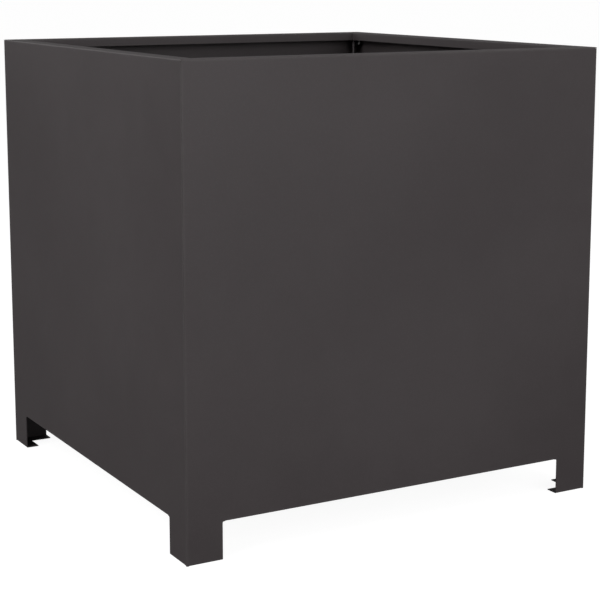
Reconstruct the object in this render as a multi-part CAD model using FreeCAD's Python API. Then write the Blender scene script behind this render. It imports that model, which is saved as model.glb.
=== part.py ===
"""Square garden planter on four short legs, in millimetres.

Four folded sheet steel panels stand in a square. Each panel is one piece of sheet: its face, a rim that
is turned inwards and then down at the top, a foot at each end with its sole turned inwards, a ledge
between the feet, and a flange at each end that is bent back along the diagonal of the corner, wide over
the body and narrow over the foot. Neighbouring panels are bolted together through those flanges, so
nothing shows outside. A floor plate with drain holes lies on the four ledges.

The origin is on the ground under the middle of the planter, +Z is up and the front panel faces -Y.
"""
import FreeCAD, Part
import math
import os
from FreeCAD import Vector

# Overall sizes, over the outside faces
WIDTH = 500.0
DEPTH = 500.0
HEIGHT = 500.0

# Sheet metal
SHEET = 1.0
BEND_INSIDE = 0.3
BEND_OUTSIDE = BEND_INSIDE + SHEET
CORNER_OUTSIDE = 0.4         # the corner folds are grooved inside first, so their outside edge stays sharp
CORNER_INSIDE = 0.1
KERF = 0.3                   # width of the slit that lets a fold end beside flat sheet

# Panels
RIM_WIDTH = 20.0
LIP_DROP = 10.0
LEG_HEIGHT = 40.0
FOOT_WIDTH = 40.0
FOOT_FILLET = 1.5            # where the inner edge of a foot meets the lower edge of the body
SOLE_WIDTH = 15.0
LEDGE_WIDTH = 20.0
LEDGE_FROM_FOOT = 3.0
FOOT_FLANGE = 15.0           # width of a corner flange over the foot
FLANGE_BEHIND_LIP = 1.7      # from the tip of a corner flange to the lip
MITRE_GAP = 0.05             # each side of the diagonal, at the rim and the lip

# Fasteners: M5 button head bolts with hexagon nuts
BOLT_DIAMETER = 5.0
BOLT_LENGTH = 8.0
BOLT_TIP_CHAMFER = 0.5
BOLT_HOLE = 5.5
HEAD_DIAMETER = 9.5
HEAD_HEIGHT = 2.75
HEAD_EDGE = 0.6              # the straight edge under the dome
HEAD_FLAT = 5.0              # diameter of the flat on top of the dome
HEAD_BULGE = 0.36            # how far the dome stands out from a straight cone, each way
SOCKET_ACROSS_FLATS = 3.0
SOCKET_DEPTH = 1.6
NUT_ACROSS_FLATS = 8.0
NUT_HEIGHT = 4.0
NUT_BEVEL_DEGREES = 30.0
NUT_FACE = 7.4               # diameter of the bearing face inside the bevel
BOLT_FROM_FLANGE_TIP = 8.5
TOP_BOLT_BELOW_LIP = 4.0
LOW_BOLT_ABOVE_BODY = 30.0   # above the lower edge of the body

# Floor plate
FLOOR_GAP = 1.0              # to the inside of the walls
FLOOR_TURN_UP = 15.0
FLOOR_SLOT_GAP = 0.5         # to the corner flanges, all round
FLOOR_TAB = 30.0             # flat corner beside each turned-up edge
DRAIN_DIAMETER = 12.0
DRAIN_PITCH = 120.0
DRAIN_ROWS = 3

# Worked out from the sizes above
FLOOR_BOTTOM = LEG_HEIGHT + SHEET
SOLE_GAP = SHEET + KERF      # from the diagonal to the end of a sole, which leaves room for the flange
CORNER_FLANGE = (RIM_WIDTH - SHEET - FLANGE_BEHIND_LIP) * math.sqrt(2)    # from the sharp outside corner
BOLT_FROM_CORNER = CORNER_FLANGE - BOLT_FROM_FLANGE_TIP
TOP_BOLT = HEIGHT - LIP_DROP - TOP_BOLT_BELOW_LIP
BOTTOM_BOLT = LEG_HEIGHT + LOW_BOLT_ABOVE_BODY
BOLT_LEVELS = {"top": TOP_BOLT, "middle": (TOP_BOLT + BOTTOM_BOLT) / 2, "bottom": BOTTOM_BOLT}
# From the sharp corner of a panel to the start of its flat
CORNER_BEND_REACH = (SHEET + CORNER_INSIDE) / math.tan(math.radians(22.5))
# Each side's name, the turn about Z that brings a panel there, its length and its distance from the middle
SIDES = {
    "front": (0, WIDTH, DEPTH / 2),
    "right": (90, DEPTH, WIDTH / 2),
    "back": (180, WIDTH, DEPTH / 2),
    "left": (270, DEPTH, WIDTH / 2),
}
# Each corner's name, the turn about Z that brings the front right corner there, and where it is
CORNERS = {
    "front_right": (0, WIDTH / 2, -DEPTH / 2),
    "back_right": (90, WIDTH / 2, DEPTH / 2),
    "back_left": (180, -WIDTH / 2, DEPTH / 2),
    "front_left": (270, -WIDTH / 2, -DEPTH / 2),
}
X_AXIS = Vector(1, 0, 0)
Z_AXIS = Vector(0, 0, 1)
TINY = 1e-6
PAST = 1.0                   # how far a cut runs past the sheet on each side


# Sheet metal sections

def bent_line(points, radius):
    """Edges along the points, with every corner rounded to the radius."""
    edges = []
    start = points[0]
    for before, corner, after in zip(points, points[1:], points[2:]):
        back = (before - corner).normalize()
        onward = (after - corner).normalize()
        half = back.getAngle(onward) / 2
        reach = radius / math.tan(half)
        enter = corner + back * reach
        leave = corner + onward * reach
        middle = corner + (back + onward).normalize() * (radius / math.sin(half) - radius)
        if start.distanceToPoint(enter) > TINY:
            edges.append(Part.makeLine(start, enter))
        edges.append(Part.Arc(enter, middle, leave).toShape())
        start = leave
    if start.distanceToPoint(points[-1]) > TINY:
        edges.append(Part.makeLine(start, points[-1]))
    return edges


def one_sheet_inside(points, normal):
    """The same line moved one sheet thickness to its left, seen against the normal."""
    ways = [(b - a).normalize() for a, b in zip(points, points[1:])]
    lefts = [normal.cross(way) for way in ways]
    moved = [points[0] + lefts[0] * SHEET]
    for corner, way, left, next_left in zip(points[1:], ways, lefts, lefts[1:]):
        half_turn = left.getAngle(next_left) / 2
        moved.append(corner + (left + next_left).normalize() * (SHEET / math.cos(half_turn)))
    moved.append(points[-1] + lefts[-1] * SHEET)
    return moved


def folded_sheet(points, normal, length, outside_radius=BEND_OUTSIDE, inside_radius=BEND_INSIDE):
    """A folded strip: the points are the sharp outside line of its section, with the sheet on their left.

    It is extruded along the normal.
    """
    inside = one_sheet_inside(points, normal)
    edges = bent_line(points, outside_radius) + bent_line(inside, inside_radius)
    edges.append(Part.makeLine(points[0], inside[0]))
    edges.append(Part.makeLine(points[-1], inside[-1]))
    wire = Part.Wire(Part.__sortEdges__(edges))
    return Part.Face(wire).extrude(normal * length)


def fuse(pieces):
    """One solid from pieces that touch or overlap."""
    return pieces[0].multiFuse(pieces[1:]).removeSplitter()


def block(low, high):
    """A box between two corners."""
    size = high - low
    return Part.makeBox(size.x, size.y, size.z, low)


# Panels, drawn with the outside face on y = 0, the inside towards +y and the middle on x = 0

def both_ends(shape):
    """A piece at the +x end of a panel and its mirror image at the other end."""
    return [shape, shape.mirror(Vector(0, 0, 0), X_AXIS)]


def beyond_mitre(length, gap):
    """What lies beyond the diagonal at the +x end of a panel, less the gap."""
    start = length / 2 - gap * math.sqrt(2)
    far = RIM_WIDTH + FOOT_WIDTH
    corners = [
        Vector(start + far, -far, -PAST),
        Vector(start + far, far, -PAST),
        Vector(start - far, far, -PAST),
    ]
    return Part.Face(Part.makePolygon(corners + corners[:1])).extrude(Z_AXIS * (HEIGHT + 2 * PAST))


def panel_face(length):
    """The flat of a panel between its folds, down to the lower edge of the body."""
    flat = length / 2 - CORNER_BEND_REACH
    ledge_end = length / 2 - FOOT_WIDTH - LEDGE_FROM_FOOT
    fold = LEG_HEIGHT + BEND_OUTSIDE
    beside_ledge = block(Vector(ledge_end + KERF, 0, LEG_HEIGHT), Vector(flat, SHEET, fold))
    middle = block(Vector(-flat, 0, fold), Vector(flat, SHEET, HEIGHT - BEND_OUTSIDE))
    return [middle] + both_ends(beside_ledge)


def foot(length):
    """The flat of the foot at the +x end, with the small fillet on its inner edge."""
    inner = length / 2 - FOOT_WIDTH
    flat = block(Vector(inner, 0, BEND_OUTSIDE), Vector(length / 2 - CORNER_BEND_REACH, SHEET, LEG_HEIGHT))
    centre = Vector(inner - FOOT_FILLET, 0, LEG_HEIGHT - FOOT_FILLET)
    square = block(centre, Vector(inner, SHEET, LEG_HEIGHT))
    round_end = Part.makeCylinder(FOOT_FILLET, SHEET, centre, Vector(0, 1, 0))
    return [flat, square.cut(round_end)]


def panel_rim(length):
    """The rim and its lip, with mitred ends."""
    line = [
        Vector(-length / 2, RIM_WIDTH, HEIGHT - LIP_DROP),
        Vector(-length / 2, RIM_WIDTH, HEIGHT),
        Vector(-length / 2, 0, HEIGHT),
        Vector(-length / 2, 0, HEIGHT - BEND_OUTSIDE),
    ]
    return folded_sheet(line, X_AXIS, length).cut(both_ends(beyond_mitre(length, MITRE_GAP)))


def turned_in(start, length, low, width):
    """A fold inwards along the lower edge of a panel, at height low."""
    line = [Vector(start, 0, low + BEND_OUTSIDE), Vector(start, 0, low), Vector(start, width, low)]
    return folded_sheet(line, X_AXIS, length)


def panel_ledge(length):
    """The ledge between the feet, which carries the floor plate."""
    start = FOOT_WIDTH + LEDGE_FROM_FOOT - length / 2
    return turned_in(start, -2 * start, LEG_HEIGHT, LEDGE_WIDTH)


def sole(length):
    """The sole of the foot at the +x end, mitred against the corner flange."""
    fold = turned_in(length / 2 - FOOT_WIDTH, FOOT_WIDTH - CORNER_BEND_REACH - KERF, 0, SOLE_WIDTH)
    return fold.cut(beyond_mitre(length, SOLE_GAP))


def flange_at_corner(length, width, low, high):
    """A flange along the diagonal at the +x end, with its fold, from height low to height high."""
    half = length / 2
    inward = width / math.sqrt(2)
    line = [
        Vector(half - CORNER_BEND_REACH, 0, low),
        Vector(half, 0, low),
        Vector(half - inward, inward, low),
    ]
    return folded_sheet(line, Z_AXIS, high - low, CORNER_OUTSIDE, CORNER_INSIDE)


def corner_flanges(length):
    """The flange at the +x end: wide over the body, with its bolt holes, and narrow over the foot."""
    body = flange_at_corner(length, CORNER_FLANGE, LEG_HEIGHT, HEIGHT - BEND_OUTSIDE - KERF)
    over_foot = flange_at_corner(length, FOOT_FLANGE, 0, LEG_HEIGHT)
    return [body.cut(bolt_holes(length)), over_foot]


def bolt_holes(length):
    """Round holes through the flange at the +x end, square to the diagonal."""
    inward = BOLT_FROM_CORNER / math.sqrt(2)
    way = Vector(1, 1, 0).normalize()
    centres = [Vector(length / 2 - inward, inward, level) for level in BOLT_LEVELS.values()]
    half = SHEET + PAST
    return [Part.makeCylinder(BOLT_HOLE / 2, 2 * half, centre - way * half, way) for centre in centres]


def panel(length):
    """A whole panel, one folded piece of sheet."""
    pieces = panel_face(length) + [panel_rim(length), panel_ledge(length)]
    for shape in foot(length) + [sole(length)] + corner_flanges(length):
        pieces += both_ends(shape)
    return fuse(pieces)


# Floor plate

def floor_edge(length, distance):
    """One turned-up edge of the floor plate, on its -y side."""
    start = FLOOR_TAB - length / 2
    line = [
        Vector(start, -distance, FLOOR_BOTTOM + FLOOR_TURN_UP),
        Vector(start, -distance, FLOOR_BOTTOM),
        Vector(start, BEND_OUTSIDE - distance, FLOOR_BOTTOM),
    ]
    return folded_sheet(line, X_AXIS, -2 * start)


def turned(shape, degrees):
    """A copy of the shape, turned about Z."""
    copy = shape.copy()
    copy.rotate(Vector(0, 0, 0), Z_AXIS, degrees)
    return copy


def drain_holes():
    """Square grid of drain holes about the middle of the floor."""
    first = -DRAIN_PITCH * (DRAIN_ROWS - 1) / 2
    steps = [first + DRAIN_PITCH * i for i in range(DRAIN_ROWS)]
    return [
        Part.makeCylinder(DRAIN_DIAMETER / 2, SHEET + 2 * PAST, Vector(x, y, FLOOR_BOTTOM - PAST))
        for x in steps for y in steps
    ]


def floor_plate():
    """The loose floor, with its edges turned up and a slot round each pair of corner flanges."""
    half_x = WIDTH / 2 - SHEET - FLOOR_GAP
    half_y = DEPTH / 2 - SHEET - FLOOR_GAP
    top = FLOOR_BOTTOM + SHEET
    plate = block(Vector(-half_x, -half_y, FLOOR_BOTTOM), Vector(half_x, half_y, top))
    edges = []
    cuts = drain_holes()
    for degrees, length, distance in ((0, half_x, half_y), (90, half_y, half_x),
                                      (180, half_x, half_y), (270, half_y, half_x)):
        edges.append(turned(floor_edge(2 * length, distance), degrees))
        free = length - FLOOR_TAB + KERF
        strip = block(Vector(-free, -distance - PAST, FLOOR_BOTTOM - PAST),
                      Vector(free, BEND_OUTSIDE - distance, top + PAST))
        cuts.append(turned(strip, degrees))
    slot_half = SHEET + FLOOR_SLOT_GAP
    slot_length = CORNER_FLANGE + FLOOR_SLOT_GAP
    for degrees, x, y in CORNERS.values():
        low = Vector(-slot_half, 0, FLOOR_BOTTOM - PAST)
        slot = block(low, Vector(slot_half, slot_length, top + PAST))
        slot = turned(slot, 45 + degrees)
        cuts.append(slot.translate(Vector(x, y, 0)))
    return fuse([plate.cut(cuts)] + edges)


# Fasteners, drawn on the Z axis with the joint between the two flanges at z = 0

def hexagon(across_flats, low, height):
    """A six-sided prism."""
    radius = across_flats / math.sqrt(3)
    corners = [
        Vector(radius * math.cos(math.radians(60 * i)), radius * math.sin(math.radians(60 * i)), low)
        for i in range(7)
    ]
    return Part.Face(Part.makePolygon(corners)).extrude(Z_AXIS * height)


def bolt():
    """Button head bolt, with its head below the joint."""
    seat = -SHEET
    top = seat - HEAD_HEIGHT
    edge = seat - HEAD_EDGE
    tip = seat + BOLT_LENGTH
    shank = BOLT_DIAMETER / 2
    dome_start = Vector(HEAD_FLAT / 2, 0, top)
    dome_end = Vector(HEAD_DIAMETER / 2, 0, edge)
    dome_middle = (dome_start + dome_end) * 0.5 + Vector(HEAD_BULGE, 0, -HEAD_BULGE)
    outline = [
        Part.makeLine(Vector(0, 0, top), dome_start),
        Part.Arc(dome_start, dome_middle, dome_end).toShape(),
        Part.makePolygon([
            dome_end,
            Vector(HEAD_DIAMETER / 2, 0, seat),
            Vector(shank, 0, seat),
            Vector(shank, 0, tip - BOLT_TIP_CHAMFER),
            Vector(shank - BOLT_TIP_CHAMFER, 0, tip),
            Vector(0, 0, tip),
            Vector(0, 0, top),
        ]),
    ]
    edges = [edge_piece for shape in outline for edge_piece in shape.Edges]
    turned_solid = Part.Face(Part.Wire(edges)).revolve(Vector(0, 0, 0), Z_AXIS, 360)
    return turned_solid.cut(hexagon(SOCKET_ACROSS_FLATS, top, SOCKET_DEPTH))


def nut():
    """Hexagon nut on the other side of the joint, with both faces bevelled."""
    low = SHEET
    high = SHEET + NUT_HEIGHT
    corner_radius = NUT_ACROSS_FLATS / math.sqrt(3)
    fall = (corner_radius - NUT_FACE / 2) * math.tan(math.radians(NUT_BEVEL_DEGREES))
    envelope = Part.makePolygon([
        Vector(0, 0, low),
        Vector(NUT_FACE / 2, 0, low),
        Vector(corner_radius, 0, low + fall),
        Vector(corner_radius, 0, high - fall),
        Vector(NUT_FACE / 2, 0, high),
        Vector(0, 0, high),
        Vector(0, 0, low),
    ])
    turned_solid = Part.Face(envelope).revolve(Vector(0, 0, 0), Z_AXIS, 360)
    bore = Part.makeCylinder(BOLT_DIAMETER / 2, NUT_HEIGHT, Vector(0, 0, low))
    return hexagon(NUT_ACROSS_FLATS, low, NUT_HEIGHT).common(turned_solid).cut(bore)


def on_corner_flange(shape, corner, level):
    """The shape moved to a bolt position, with its head on the side of the panel that comes next."""
    degrees, x, y = CORNERS[corner]
    across = Vector(-1, -1, 0).normalize()
    placed = shape.copy()
    placed.Placement = FreeCAD.Placement(
        Vector(-BOLT_FROM_CORNER / math.sqrt(2), BOLT_FROM_CORNER / math.sqrt(2), level),
        FreeCAD.Rotation(Z_AXIS, across),
    )
    placed = turned(placed, degrees)
    placed.translate(Vector(x, y, 0))
    return placed


# The whole planter

def all_nodes():
    """Every separate piece by its node name."""
    nodes = {}
    for side, (degrees, length, distance) in SIDES.items():
        placed = panel(length).translate(Vector(0, -distance, 0))
        nodes[side + "_panel"] = turned(placed, degrees)
    nodes["floor_plate"] = floor_plate()
    for corner in CORNERS:
        for level_name, level in BOLT_LEVELS.items():
            nodes[f"bolt_{corner}_{level_name}"] = on_corner_flange(bolt(), corner, level)
            nodes[f"nut_{corner}_{level_name}"] = on_corner_flange(nut(), corner, level)
    return nodes


def main():
    """Writes one STEP file for each piece."""
    os.makedirs("parts", exist_ok=True)
    for name, shape in all_nodes().items():
        solids = shape.Solids
        if len(solids) != 1 or not shape.isValid():
            raise ValueError(f"{name} has {len(solids)} solids, valid: {shape.isValid()}")
        solids[0].exportStep(f"parts/{name}.step")
        print(name, round(solids[0].Volume, 1))


main()
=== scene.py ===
"""Square sheet steel planter on four feet: finishes, stage, light and view."""

import math

import bmesh
import bpy
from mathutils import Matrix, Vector


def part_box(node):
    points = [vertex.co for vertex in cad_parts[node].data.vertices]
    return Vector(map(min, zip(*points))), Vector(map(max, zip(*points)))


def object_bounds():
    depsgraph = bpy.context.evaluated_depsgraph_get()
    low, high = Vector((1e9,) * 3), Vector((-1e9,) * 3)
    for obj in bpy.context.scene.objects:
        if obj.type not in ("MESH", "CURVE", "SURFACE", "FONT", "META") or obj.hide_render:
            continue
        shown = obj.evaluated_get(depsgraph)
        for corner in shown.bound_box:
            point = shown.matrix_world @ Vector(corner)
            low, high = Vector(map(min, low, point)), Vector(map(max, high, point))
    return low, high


bl_info = {
    "name": "Sheet Steel Planter",
    "version": (1, 0, 0),
    "blender": (4, 5, 0),
    "location": "View3D > Sidebar > Planter",
    "description": "Finishes and lights a square sheet steel planter",
    "category": "Object",
}

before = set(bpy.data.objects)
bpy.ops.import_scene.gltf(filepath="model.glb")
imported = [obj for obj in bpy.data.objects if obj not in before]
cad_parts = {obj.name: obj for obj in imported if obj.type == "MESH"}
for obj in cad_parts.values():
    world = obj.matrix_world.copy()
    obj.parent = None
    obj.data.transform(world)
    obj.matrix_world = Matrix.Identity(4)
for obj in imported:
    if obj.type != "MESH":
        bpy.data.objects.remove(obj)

CAD_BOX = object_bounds()
LOW, HIGH = CAD_BOX
HALF = HIGH.x                                        # the planter is square and stands about the origin
TOP = HIGH.z
FLOOR_LOW, FLOOR_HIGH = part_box("floor_plate")
BODY_LOW = FLOOR_LOW.z - 0.001                       # the floor lies on ledges of 1 mm sheet
PANELS = sorted(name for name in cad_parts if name.endswith("_panel"))
BOLTS = sorted(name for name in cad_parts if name.startswith("bolt_"))
NUTS = sorted(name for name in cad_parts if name.startswith("nut_"))
LIP_PLACE = HALF - 0.020                             # the rim is 20 mm wide
LEDGE_END = HALF - 0.042                             # the ledges stop short of the feet
RUBBED_COAT = (0.19, 0.185, 0.18, 1.0)               # the coat where it is thin along a fold
NUT_FAR_FACE = 0.0050                                # from the joint, where the bare thread starts
THREAD_DEPTH = 0.00012
WHITE = (1.0, 1.0, 1.0, 1.0)

# The soft lights: name, place, width and power in watts
LIGHTS = (
    ("front", (0.35, -2.4, 1.0), 1.6, 23.0),
    ("low", (-0.7, -2.4, 0.11), 0.2, 3.0),
    ("left_high", (-2.2, -0.6, 1.9), 1.6, 25.0),
    ("left_low", (-2.4, -0.6, 1.0), 1.6, 12.0),
    ("right", (2.3, -0.1, 1.5), 1.6, 14.0),
    ("back", (-1.5, 2.3, 1.6), 1.6, 14.0),
)


# What a user would change

class PlanterCoat(bpy.types.PropertyGroup):
    colour: bpy.props.FloatVectorProperty(
        name="Coat colour", description="Colour of the powder coat", subtype="COLOR",
        size=3, min=0, max=1, default=(0.0526, 0.0436, 0.0456))
    roughness: bpy.props.FloatProperty(
        name="Roughness", description="How dull the powder coat is", subtype="FACTOR",
        min=0, max=1, default=0.55)
    mottle: bpy.props.FloatProperty(
        name="Mottle", description="How much the coat's tone drifts over a panel", subtype="FACTOR",
        min=0, max=1, default=0.05)
    peel_size: bpy.props.FloatProperty(
        name="Peel size", description="Width of one dimple of the coat's orange peel", subtype="DISTANCE",
        unit="LENGTH", min=0.0002, max=0.01, precision=4, default=0.0016)
    peel_depth: bpy.props.FloatProperty(
        name="Peel depth", description="Height of the orange peel", subtype="DISTANCE",
        unit="LENGTH", min=0, max=0.001, precision=6, default=0.000012)
    edge_width: bpy.props.FloatProperty(
        name="Edge width", description="How far a rubbed coat reaches from a fold", subtype="DISTANCE",
        unit="LENGTH", min=0.0005, max=0.02, precision=4, default=0.0035)
    edge_wear: bpy.props.FloatProperty(
        name="Edge wear", description="How light the coat is along folds and cut edges", subtype="FACTOR",
        min=0, max=1, default=0.15)


class PlanterFasteners(bpy.types.PropertyGroup):
    colour: bpy.props.FloatVectorProperty(
        name="Plating colour", description="Colour of the black zinc plate", subtype="COLOR",
        size=3, min=0, max=1, default=(0.045, 0.045, 0.05))
    # The uncoated steel colour is also a painted highlight on the bolt tips; on the nuts it is only rub
    # wear.
    bare_and_painted_glint_colour: bpy.props.FloatVectorProperty(
        name="Bare colour", description="Colour of the steel where the plate is cut away", subtype="COLOR",
        size=3, min=0, max=1, default=(0.90, 0.89, 0.87))
    roughness: bpy.props.FloatProperty(
        name="Roughness", description="How dull the plating is", subtype="FACTOR",
        min=0, max=1, default=0.36)
    thread_pitch: bpy.props.FloatProperty(
        name="Thread pitch", description="From one thread to the next", subtype="DISTANCE",
        unit="LENGTH", min=0.0002, max=0.005, precision=4, default=0.0008)


class PlanterStage(bpy.types.PropertyGroup):
    ground_size: bpy.props.FloatProperty(
        name="Ground size", description="Width of the ground", subtype="DISTANCE",
        unit="LENGTH", min=1, max=200, default=60)
    ground_white: bpy.props.FloatProperty(
        name="Ground white", description="How bright the ground looks in the dark", subtype="FACTOR",
        min=0, max=1, default=0.93)
    ground_shadow: bpy.props.FloatProperty(
        name="Ground shadow", description="How much light and shadow show on the ground", subtype="FACTOR",
        min=0, max=1, default=0.25)
    ground_bounce: bpy.props.FloatProperty(
        name="Ground bounce", description="Share of the light that is thrown back up", subtype="FACTOR",
        min=0, max=1, default=0.28)
    sky_strength: bpy.props.FloatProperty(
        name="Sky strength", description="Light from all round", min=0, max=10, default=0.234)
    light_level: bpy.props.FloatProperty(
        name="Light level", description="Multiplies every soft light", min=0, max=10, default=1.0)
    lens: bpy.props.FloatProperty(
        name="Lens", description="Focal length", subtype="DISTANCE_CAMERA",
        unit="CAMERA", min=10, max=300, default=96.02)
    view_place: bpy.props.FloatVectorProperty(
        name="View place", description="Where the picture is taken from", subtype="XYZ",
        unit="LENGTH", size=3, default=(-0.8927, -1.6192, 0.5832))
    view_heading: bpy.props.FloatProperty(
        name="Heading", description="Turn of the view from +Y towards +X", subtype="ANGLE",
        unit="ROTATION", default=math.radians(29.39))
    view_tilt: bpy.props.FloatProperty(
        name="Tilt", description="How far the view looks down", subtype="ANGLE",
        unit="ROTATION", default=math.radians(9.59))
    view_rise: bpy.props.FloatProperty(
        name="Rise", description="Vertical lens shift, in picture widths", min=-1, max=1, default=-0.1)


# Shader maths

class Wire:
    """A shader socket that can be used in arithmetic."""

    def __init__(self, bench, socket):
        self.bench = bench
        self.socket = socket

    def maths(self, operation, *values):
        settings = {"operation": operation}
        return self.bench.node("ShaderNodeMath", settings, dict(enumerate(values)))["Value"]

    def __add__(self, other):
        return self.maths("ADD", self, other)

    def __radd__(self, other):
        return self.maths("ADD", other, self)

    def __sub__(self, other):
        return self.maths("SUBTRACT", self, other)

    def __rsub__(self, other):
        return self.maths("SUBTRACT", other, self)

    def __mul__(self, other):
        return self.maths("MULTIPLY", self, other)

    def __rmul__(self, other):
        return self.maths("MULTIPLY", other, self)

    def __truediv__(self, other):
        return self.maths("DIVIDE", self, other)

    def __pow__(self, other):
        return self.maths("POWER", self, other)

    def __abs__(self):
        return self.maths("ABSOLUTE", self)

    def sine(self):
        return self.maths("SINE", self)

    def larger(self, other):
        return self.maths("MAXIMUM", self, other)


class Bench:
    """Where the nodes of one material, or of the world, are put together."""

    def __init__(self, owner):
        self.owner = owner
        self.owner.use_nodes = True
        self.tree = self.owner.node_tree
        self.tree.nodes.clear()

    def node(self, kind, settings=None, sockets=None):
        """Adds a node: its settings first, then the value or link of each socket. Returns its outputs."""
        node = self.tree.nodes.new(kind)
        for name, value in (settings or {}).items():
            setattr(node, name, value)
        for key, value in (sockets or {}).items():
            socket = self.pick(node.inputs, key)
            if isinstance(value, Wire):
                self.tree.links.new(value.socket, socket)
            else:
                socket.default_value = value
        return {s.identifier: Wire(self, s) for s in node.outputs}

    def pick(self, sockets, key):
        if isinstance(key, int):
            return sockets[key]
        return next(s for s in sockets if s.identifier == key)

    def least(self, *values):
        smallest = values[0]
        for value in values[1:]:
            smallest = smallest.maths("MINIMUM", smallest, value)
        return smallest

    def fade(self, value, near, far):
        """1 where the value is near or less, 0 from far on, and smooth between."""
        return self.node("ShaderNodeMapRange", {"interpolation_type": "SMOOTHSTEP", "clamp": True}, {
            "Value": value, "From Min": near, "From Max": far, "To Min": 1.0, "To Max": 0.0})["Result"]

    def noise(self, place, scale, detail=2.0, roughness=0.5):
        """Noise about 0.5."""
        return self.node("ShaderNodeTexNoise", {"noise_dimensions": "3D", "normalize": True}, {
            "Vector": place, "Scale": scale, "Detail": detail, "Roughness": roughness})["Fac"]

    def blend(self, share, first, second):
        """A colour that goes from the first to the second."""
        return self.node("ShaderNodeMix", {"data_type": "RGBA", "blend_type": "MIX", "clamp_factor": True}, {
            "Factor_Float": share, "A_Color": first, "B_Color": second})["Result_Color"]

    def point(self):
        """The point on the surface, in metres."""
        return self.node("ShaderNodeTexCoord")["Object"]

    def parts(self, point):
        """The x, y and z of a point."""
        parts = self.node("ShaderNodeSeparateXYZ", None, {"Vector": point})
        return parts["X"], parts["Y"], parts["Z"]

    def bump(self, height, depth):
        """A normal from a height of 0 to 1 that stands for the depth in metres."""
        return self.node("ShaderNodeBump", None, {
            "Height": height, "Distance": depth, "Strength": 1.0})["Normal"]

    def finish(self, sockets):
        """Closes the material with one surface shader."""
        surface = self.node("ShaderNodeBsdfPrincipled", {"distribution": "MULTI_GGX"}, sockets)["BSDF"]
        self.node("ShaderNodeOutputMaterial", {"target": "ALL"}, {"Surface": surface})
        return self.owner

    def seen_or_not(self, unseen, seen):
        """One shader for the eye and another for the light that falls on other things."""
        looked_at = self.node("ShaderNodeLightPath")["Is Camera Ray"]
        return self.node("ShaderNodeMixShader", None, {0: looked_at, 1: unseen, 2: seen})["Shader"]


def new_material(name):
    """The bench of a new material."""
    return Bench(bpy.data.materials.new(name))


def opaque(colour):
    """The colour with nothing showing through."""
    return (*colour, 1.0)


def lighter(colour, share):
    """The colour moved towards white."""
    return opaque(c + (1 - c) * share for c in colour)


def darker(colour, share):
    """The colour moved towards black."""
    return opaque(c * (1 - share) for c in colour)


def grey(share):
    """A grey between black and white."""
    return (share, share, share, 1.0)


def across(a, b):
    """The length of two parts at right angles."""
    return (a * a + b * b) ** 0.5


# Finishes

def panel_edges(bench, x, y, z):
    """Distance to the nearest fold or outer corner of the panels."""
    wall = abs(x).larger(abs(y))
    along = bench.least(abs(x), abs(y))
    rim = across(HALF - wall, TOP - z)
    lip = across(wall - LIP_PLACE, TOP - z)
    corner = across(HALF - wall, HALF - along)
    beyond_ledge = (along - LEDGE_END).larger(0.0)
    hem = across(across(HALF - wall, z - BODY_LOW), beyond_ledge)
    sole = across(HALF - wall, z)
    return bench.least(rim, lip, corner, hem, sole)


def floor_edges(bench, x, y, z):
    """Distance to the nearest upper edge or outer corner of the floor plate."""
    wall = abs(x).larger(abs(y))
    return bench.least(FLOOR_HIGH.z - z, FLOOR_HIGH.x - wall)


def powder_coat(name, coat, edges, seed):
    """Fine, slightly dimpled powder coat, thin and light along the folds."""
    bench = new_material(name)
    point = bench.point()
    x, y, z = bench.parts(point)
    moved = bench.node("ShaderNodeVectorMath", {"operation": "ADD"}, {
        0: point, 1: (seed, 2 * seed, -seed)})["Vector"]
    drift = bench.noise(moved, 5.0, 3.0, 0.45)
    cloud = bench.noise(moved, 38.0, 3.0, 0.55)
    grit = bench.noise(moved, 0.55 / coat.peel_size, 2.0, 0.6)
    peel = bench.noise(moved, 1 / coat.peel_size, 1.5, 0.4)
    fleck = bench.node("ShaderNodeTexVoronoi", {"feature": "F1"}, {
        "Vector": moved, "Scale": 1 / (1.3 * coat.peel_size), "Randomness": 1.0})["Distance"]
    rubbed = bench.fade(edges(bench, x, y, z), 0.0, coat.edge_width)
    worn = rubbed * (0.45 + 0.9 * (cloud - 0.35)) * coat.edge_wear
    tone = 0.5 + (drift - 0.5) * 2.2 + (cloud - 0.5) * 0.9 + (grit - 0.5) * 0.8
    colour = tuple(coat.colour)
    base = bench.blend(tone, darker(colour, coat.mottle * 1.6), lighter(colour, coat.mottle * 0.11))
    base = bench.blend(worn, base, RUBBED_COAT)
    dots = bench.fade(fleck, 0.10, 0.22)
    base = bench.blend(dots * 0.16, base, lighter(colour, 0.10))
    dull = coat.roughness + (cloud - 0.5) * 0.10 + (drift - 0.5) * 0.08 - worn * 0.2
    height = peel * 0.7 + grit * 0.3
    return bench.finish({
        "Base Color": base,
        "Roughness": dull,
        "IOR": 1.5,
        "Specular IOR Level": 0.4,
        "Normal": bench.bump(height, coat.peel_depth),
    })


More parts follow.
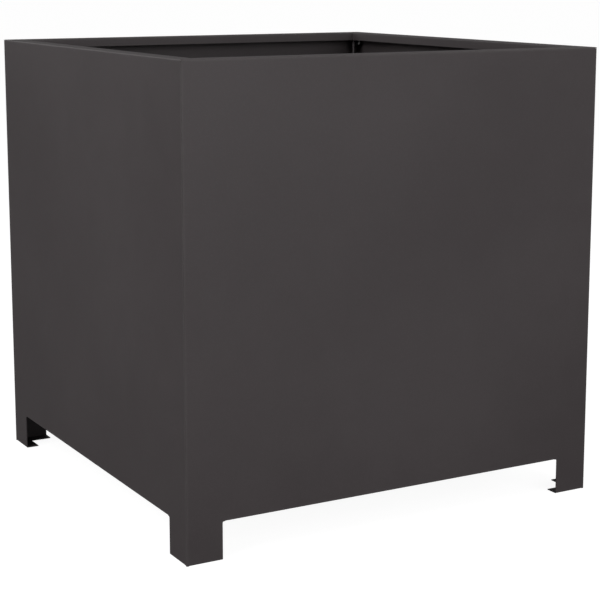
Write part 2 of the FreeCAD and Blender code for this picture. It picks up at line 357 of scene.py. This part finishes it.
def bolt_plating(name, fasteners):
    """Black zinc plate; beyond the nut the thread is uncoated steel, near white and barely metallic, partly
    a painted highlight.
    """
    bench = new_material(name)
    point = bench.point()
    x, y, _ = bench.parts(point)
    from_joint = abs(abs(x) - abs(y)) / math.sqrt(2)
    smudge = bench.noise(point, 900.0, 3.0, 0.6)
    # Beyond the nut: uncoated steel, coloured near white and barely metallic, which is partly a painted
    # highlight on the bolt tip.
    bare_and_painted_glint = 1 - bench.fade(from_joint, NUT_FAR_FACE - 0.0001, NUT_FAR_FACE + 0.0002)
    rubbed = bare_and_painted_glint * (0.75 + 0.5 * (smudge - 0.5))
    base = bench.blend(rubbed, opaque(fasteners.colour), opaque(fasteners.bare_and_painted_glint_colour))
    thread = (from_joint * (2 * math.pi / fasteners.thread_pitch)).sine() * 0.5 + 0.5
    return bench.finish({
        "Base Color": base,
        "Metallic": 1 - 0.9 * bare_and_painted_glint,
        "Roughness": fasteners.roughness + (smudge - 0.5) * 0.2 + bare_and_painted_glint * 0.15,
        "Normal": bench.bump(thread * bare_and_painted_glint, THREAD_DEPTH),
    })


def nut_plating(name, fasteners):
    """Black zinc plate with fine rub marks."""
    bench = new_material(name)
    point = bench.point()
    smudge = bench.noise(point, 700.0, 3.0, 0.6)
    rub = bench.fade(bench.noise(point, 1800.0, 1.0), 0.28, 0.40)
    base = bench.blend(rub * 0.35, opaque(fasteners.colour), opaque(fasteners.bare_and_painted_glint_colour))
    return bench.finish({
        "Base Color": base,
        "Metallic": 1.0,
        "Roughness": fasteners.roughness + (smudge - 0.5) * 0.24,
        "Normal": bench.bump(smudge, 0.00001),
    })


def give(names, material):
    """Puts the material on the nodes' slots."""
    for name in names:
        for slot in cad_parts[name].material_slots:
            slot.material = material


# Operators

class PLANTER_OT_panels(bpy.types.Operator):
    """Powder coats the four folded panels, each with its own run of the coat's mottle"""
    bl_idname = "planter.panels"
    bl_label = "Finish Panels"

    def execute(self, context):
        for number, name in enumerate(PANELS):
            seed = 0.7 * number + 0.3
            give([name], powder_coat(name + "_coat", context.scene.planter_coat, panel_edges, seed))
        return {"FINISHED"}


class PLANTER_OT_floor_plate(bpy.types.Operator):
    """Powder coats the floor plate"""
    bl_idname = "planter.floor_plate"
    bl_label = "Finish Floor Plate"

    def execute(self, context):
        give(["floor_plate"], powder_coat("floor_plate_coat", context.scene.planter_coat, floor_edges, 4.1))
        return {"FINISHED"}


class PLANTER_OT_bolts(bpy.types.Operator):
    """Plates the corner bolts"""
    bl_idname = "planter.bolts"
    bl_label = "Finish Bolts"

    def execute(self, context):
        give(BOLTS, bolt_plating("bolt_plating", context.scene.planter_fasteners))
        return {"FINISHED"}


class PLANTER_OT_nuts(bpy.types.Operator):
    """Plates the corner nuts"""
    bl_idname = "planter.nuts"
    bl_label = "Finish Nuts"

    def execute(self, context):
        give(NUTS, nut_plating("nut_plating", context.scene.planter_fasteners))
        return {"FINISHED"}


def ground_paper(stage):
    """White paper that shows a faint shadow and throws little light back up."""
    bench = new_material("ground_paper")
    seen = bench.node("ShaderNodeBsdfPrincipled", None, {
        "Base Color": grey(stage.ground_shadow),
        "Roughness": 1.0,
        "Specular IOR Level": 0.0,
        "Emission Color": WHITE,
        "Emission Strength": stage.ground_white,
    })["BSDF"]
    unseen = bench.node("ShaderNodeBsdfDiffuse", None, {"Color": grey(stage.ground_bounce)})["BSDF"]
    both = bench.seen_or_not(unseen, seen)
    bench.node("ShaderNodeOutputMaterial", {"target": "ALL"}, {"Surface": both})
    return bench.owner


def lay_ground(stage):
    """A plain pale ground under the feet."""
    mesh = bpy.data.meshes.new("ground")
    shape = bmesh.new()
    bmesh.ops.create_grid(shape, x_segments=1, y_segments=1, size=stage.ground_size / 2)
    shape.to_mesh(mesh)
    shape.free()
    mesh.materials.append(ground_paper(stage))
    ground = bpy.data.objects.new("ground", mesh)
    bpy.context.scene.collection.objects.link(ground)


def hang_light(name, place, aim, width, power):
    """A square soft light that faces the aim."""
    lamp = bpy.data.lights.new(name, "AREA")
    lamp.shape = "SQUARE"
    lamp.size = width
    lamp.energy = power
    light = bpy.data.objects.new(name, lamp)
    light.location = place
    light.rotation_euler = (aim - place).to_track_quat("-Z", "Y").to_euler()
    bpy.context.scene.collection.objects.link(light)


def set_sky(strength):
    """Even white light from all round, with a plain white backdrop to look at."""
    bench = Bench(bpy.data.worlds.new("studio"))
    light = bench.node("ShaderNodeBackground", None, {"Color": WHITE, "Strength": strength})["Background"]
    backdrop = bench.node("ShaderNodeBackground", None, {"Color": WHITE, "Strength": 1.0})["Background"]
    bench.node("ShaderNodeOutputWorld", None, {"Surface": bench.seen_or_not(light, backdrop)})
    bpy.context.scene.world = bench.owner


def set_view(stage):
    """The camera, a little above the rim and to the left of the front."""
    camera = bpy.data.cameras.new("view")
    camera.sensor_width = 36.0
    camera.lens = stage.lens
    camera.shift_y = stage.view_rise
    camera.clip_start = 0.05
    camera.clip_end = 200.0
    view = bpy.data.objects.new("view", camera)
    level = math.cos(stage.view_tilt)
    ahead = Vector((
        math.sin(stage.view_heading) * level,
        math.cos(stage.view_heading) * level,
        -math.sin(stage.view_tilt),
    ))
    view.location = stage.view_place
    view.rotation_mode = "QUATERNION"
    view.rotation_quaternion = ahead.to_track_quat("-Z", "Y")
    bpy.context.scene.collection.objects.link(view)
    bpy.context.scene.camera = view


class PLANTER_OT_stage(bpy.types.Operator):
    """Lays the ground, hangs the lights and sets the view"""
    bl_idname = "planter.stage"
    bl_label = "Set Stage"

    def execute(self, context):
        stage = context.scene.planter_stage
        lay_ground(stage)
        set_sky(stage.sky_strength)
        middle = (LOW + HIGH) / 2
        for name, place, width, power in LIGHTS:
            hang_light(name, Vector(place), middle, width, power * stage.light_level)
        set_view(stage)
        context.scene.view_settings.view_transform = "Standard"
        return {"FINISHED"}


class PLANTER_PT_panel(bpy.types.Panel):
    """Lists the planter's finishes and its stage"""
    bl_idname = "PLANTER_PT_panel"
    bl_label = "Planter"
    bl_space_type = "VIEW_3D"
    bl_region_type = "UI"
    bl_category = "Planter"

    def draw(self, context):
        scene = context.scene
        for group in (scene.planter_coat, scene.planter_fasteners, scene.planter_stage):
            box = self.layout.box()
            for name in group.__annotations__:
                box.prop(group, name)
        for operator in OPERATORS:
            self.layout.operator(operator.bl_idname)


OPERATORS = (
    PLANTER_OT_panels,
    PLANTER_OT_floor_plate,
    PLANTER_OT_bolts,
    PLANTER_OT_nuts,
    PLANTER_OT_stage,
)
CLASSES = (PlanterCoat, PlanterFasteners, PlanterStage, *OPERATORS, PLANTER_PT_panel)


def register():
    for cls in CLASSES:
        bpy.utils.register_class(cls)
    bpy.types.Scene.planter_coat = bpy.props.PointerProperty(type=PlanterCoat)
    bpy.types.Scene.planter_fasteners = bpy.props.PointerProperty(type=PlanterFasteners)
    bpy.types.Scene.planter_stage = bpy.props.PointerProperty(type=PlanterStage)


def unregister():
    del bpy.types.Scene.planter_stage
    del bpy.types.Scene.planter_fasteners
    del bpy.types.Scene.planter_coat
    for cls in reversed(CLASSES):
        bpy.utils.unregister_class(cls)


def main():
    register()
    bpy.ops.planter.panels()
    bpy.ops.planter.floor_plate()
    bpy.ops.planter.bolts()
    bpy.ops.planter.nuts()
    bpy.ops.planter.stage()


if __name__ == "__main__":
    main()
